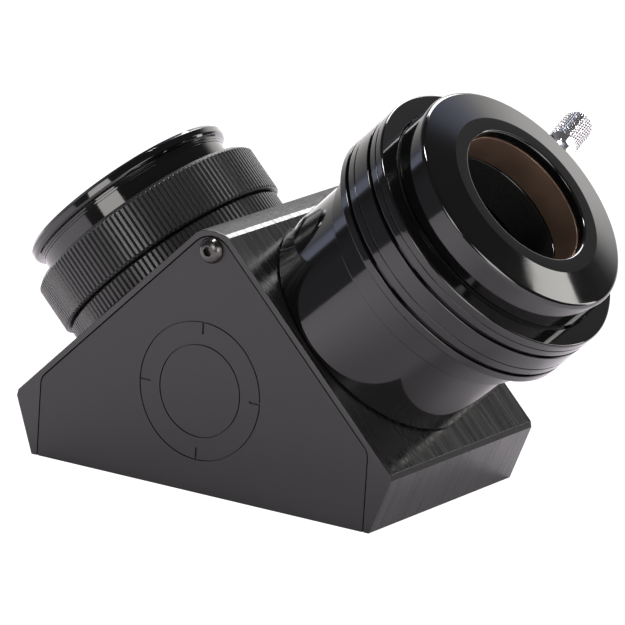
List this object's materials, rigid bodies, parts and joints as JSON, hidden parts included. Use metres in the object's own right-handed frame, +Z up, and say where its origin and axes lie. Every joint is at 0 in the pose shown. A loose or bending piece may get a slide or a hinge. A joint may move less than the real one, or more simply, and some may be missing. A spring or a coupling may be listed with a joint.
{
  "type": "telescope mirror star diagonal",
  "caption": "Right-angle mirror diagonal for a telescope: a 45-degree prism body, a knurled threaded coupling ring, and a twist-lock eyepiece holder with a thumbscrew adapter.",
  "frame": {"origin": "middle of the flat base that the body stands on", "axes": "+X to the eyepiece side, -X to the telescope side, +Y across the body to the side of the thumbscrew, +Z up. Both optical axes rise at 45 degrees in the XZ plane from the middle of the mirror, 12.4 mm above the base"},
  "size_m": [0.1344, 0.0738, 0.0889],
  "materials": {
    "brushed_black": "brushed and black anodised",
    "brushed_plate": "fine brushed and black anodised",
    "gloss_black": "polished and black anodised",
    "knurled_black": "knurled and satin black anodised",
    "satin_black": "satin black anodised",
    "screw_steel": "satin",
    "chrome": "polished, diamond knurled",
    "brass": "dulled brown brass",
    "mirror_glass": "first-surface mirror coating",
    "cork": "cork",
    "nylon": "natural nylon"
  },
  "bodies": {
    "body": {"body_housing": "brushed_black", "side_plate_front": "brushed_plate", "side_plate_back": "brushed_plate", "plate_screw_front": "screw_steel", "plate_screw_back": "screw_steel", "mirror_cover": "brushed_plate", "mirror": "mirror_glass", "cover_screw_1": "screw_steel", "cover_screw_2": "screw_steel", "cover_screw_3": "screw_steel", "cover_screw_4": "screw_steel", "mirror_pad_1": "cork", "mirror_pad_2": "cork", "mirror_pad_3": "cork", "nose_collar": "knurled_black", "nose_tube": "gloss_black", "holder_tube": "gloss_black"},
    "ring_slider": {"slip_washer": "nylon"},
    "coupling": {"coupling_ring": "knurled_black"},
    "collet": {"lock_collet": "satin_black"},
    "twist_lock": {"twist_lock_ring": "gloss_black", "ring_stop_screw": "screw_steel"},
    "adapter": {"adapter_body": "gloss_black", "compression_ring": "brass"},
    "screw_tip": {"thumbscrew_tip": "nylon"},
    "screw": {"thumbscrew": "chrome"}
  },
  "joints": [
    {"name": "coupling_ring_slide", "type": "slide", "parent": "body", "child": "ring_slider", "axis": [-0.7071, 0, 0.7071], "range_m": [0, 0.012]},
    {"name": "coupling_ring_spin", "type": "hinge", "parent": "ring_slider", "child": "coupling", "pos_m": [-0.03178, 0, 0.04418], "axis": [-0.7071, 0, 0.7071], "continuous": true},
    {"name": "collet_slide", "type": "slide", "parent": "body", "child": "collet", "axis": [-0.7071, 0, -0.7071], "range_m": [0, 0.00075]},
    {"name": "twist_lock_turn", "type": "hinge", "parent": "collet", "child": "twist_lock", "pos_m": [0.04663, 0, 0.05903], "axis": [-0.7071, 0, -0.7071], "range_deg": [0, 90]},
    {"name": "adapter_lift", "type": "slide", "parent": "body", "child": "adapter", "axis": [0.7071, 0, 0.7071], "range_m": [0, 0.03]},
    {"name": "thumbscrew_travel", "type": "slide", "parent": "adapter", "child": "screw_tip", "axis": [-0.2091, 0.9553, 0.2091], "range_m": [-0.0005, 0.003]},
    {"name": "thumbscrew_turn", "type": "hinge", "parent": "screw_tip", "child": "screw", "pos_m": [0.04807, 0.03248, 0.07469], "axis": [-0.2091, 0.9553, 0.2091], "range_deg": [-260, 1545]}
  ],
  "couplings": [
    {"joint": "twist_lock_turn", "follows": "collet_slide", "rad_per_m": 2094.4},
    {"joint": "thumbscrew_turn", "follows": "thumbscrew_travel", "rad_per_m": 8976}
  ]
}
